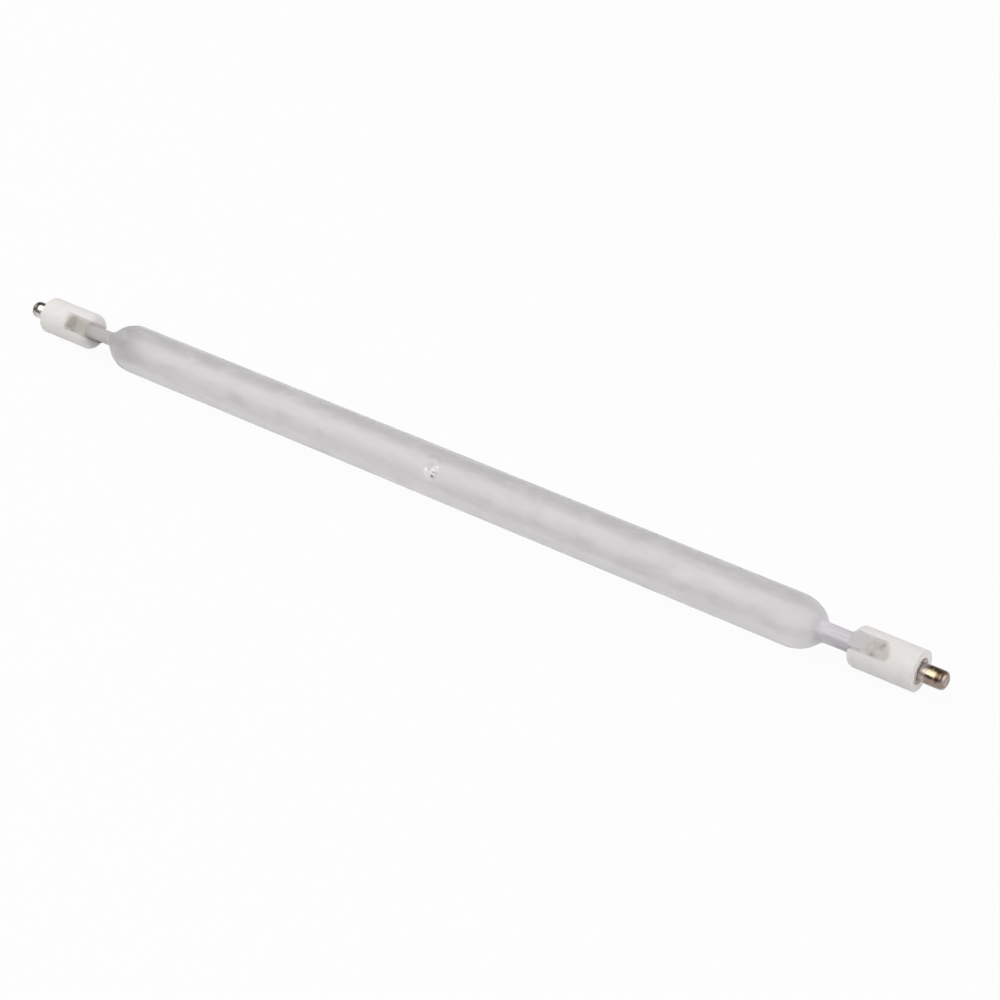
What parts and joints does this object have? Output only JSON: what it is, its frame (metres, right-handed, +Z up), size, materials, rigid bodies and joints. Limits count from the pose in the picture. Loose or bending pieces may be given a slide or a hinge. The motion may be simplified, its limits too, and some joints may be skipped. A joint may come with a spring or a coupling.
{
  "type": "halogen heater tube",
  "caption": "Double-ended halogen heater lamp: frosted quartz tube with domed ends, flat pinch seals in slotted ceramic caps, and round contact pins.",
  "frame": {"origin": "on the lamp's axis, half way between the two pin tips", "axes": "X along the lamp from the left pin to the right pin, +Z up as the lamp lies on a table; the tip-off and the left cap's slot face between -Y and +Z, the right cap's slot a little more towards +Z"},
  "size_m": [0.22, 0.01, 0.01],
  "materials": {
    "frosted_quartz": "frosted fused quartz, satin, can't be seen into",
    "ceramic": "unglazed warm white steatite, matt",
    "pin_metal": "turned, plated brass, tarnished",
    "lead_metal": "drawn molybdenum wire",
    "cement": "rough beige lamp cement"
  },
  "bodies": {
    "root": {"quartz_envelope": "frosted_quartz", "ceramic_cap_left": "ceramic", "ceramic_cap_right": "ceramic", "contact_pin_left": "pin_metal", "contact_pin_right": "pin_metal", "lead_wire_left": "lead_metal", "lead_wire_right": "lead_metal", "seal_cement_left": "cement", "seal_cement_right": "cement"}
  },
  "joints": []
}
